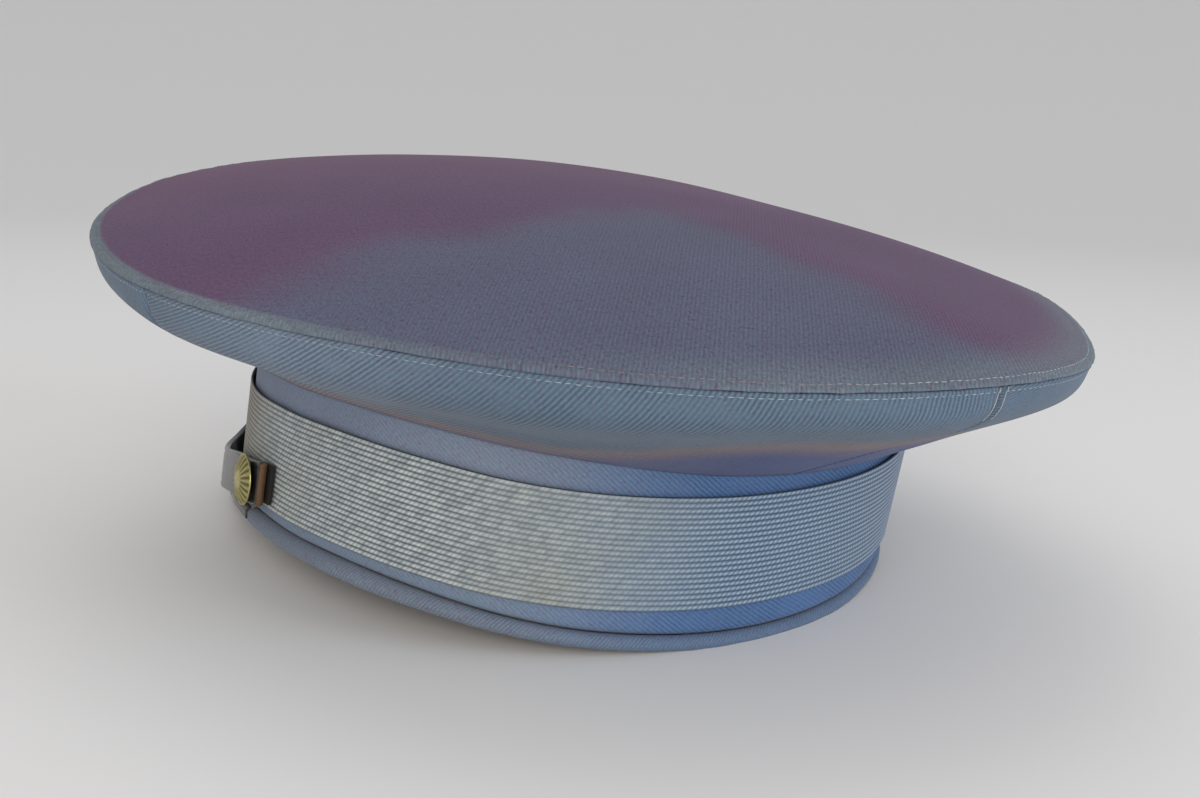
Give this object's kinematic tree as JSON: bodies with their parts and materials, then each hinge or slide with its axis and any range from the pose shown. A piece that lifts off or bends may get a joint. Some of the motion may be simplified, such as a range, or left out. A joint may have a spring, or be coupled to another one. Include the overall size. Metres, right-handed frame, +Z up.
{
  "type": "peaked cap",
  "caption": "Peaked uniform cap: a wide domed crown over a ribbed braid band, with a short stiff peak and a leather chin strap held by fluted side buttons.",
  "frame": {"origin": "on the table, under the middle of the cap's box", "axes": "+Z up from the table; -Y towards the front of the cap, over the peak; +X towards the wearer's left"},
  "size_m": [0.2636, 0.2984, 0.1117],
  "materials": {
    "twill": "blue-grey wool twill, matte",
    "crown_twill": "blue-grey wool twill, faded towards plum on the top",
    "braid": "ribbed ribbon woven of dark and silvery blue thread",
    "patent": "black patent leather, glossy",
    "leather": "black leather, satin",
    "gilt": "gilt, satin"
  },
  "bodies": {
    "root": {"crown_top": "crown_twill", "quarter_front_left": "twill", "quarter_back_left": "twill", "quarter_back_right": "twill", "quarter_front_right": "twill", "band": "twill", "braid": "braid", "bottom_welt": "twill", "peak": "patent", "chin_strap": "patent", "strap_tab_left": "leather", "side_button_left": "gilt", "strap_tab_right": "leather", "side_button_right": "gilt"}
  },
  "joints": []
}
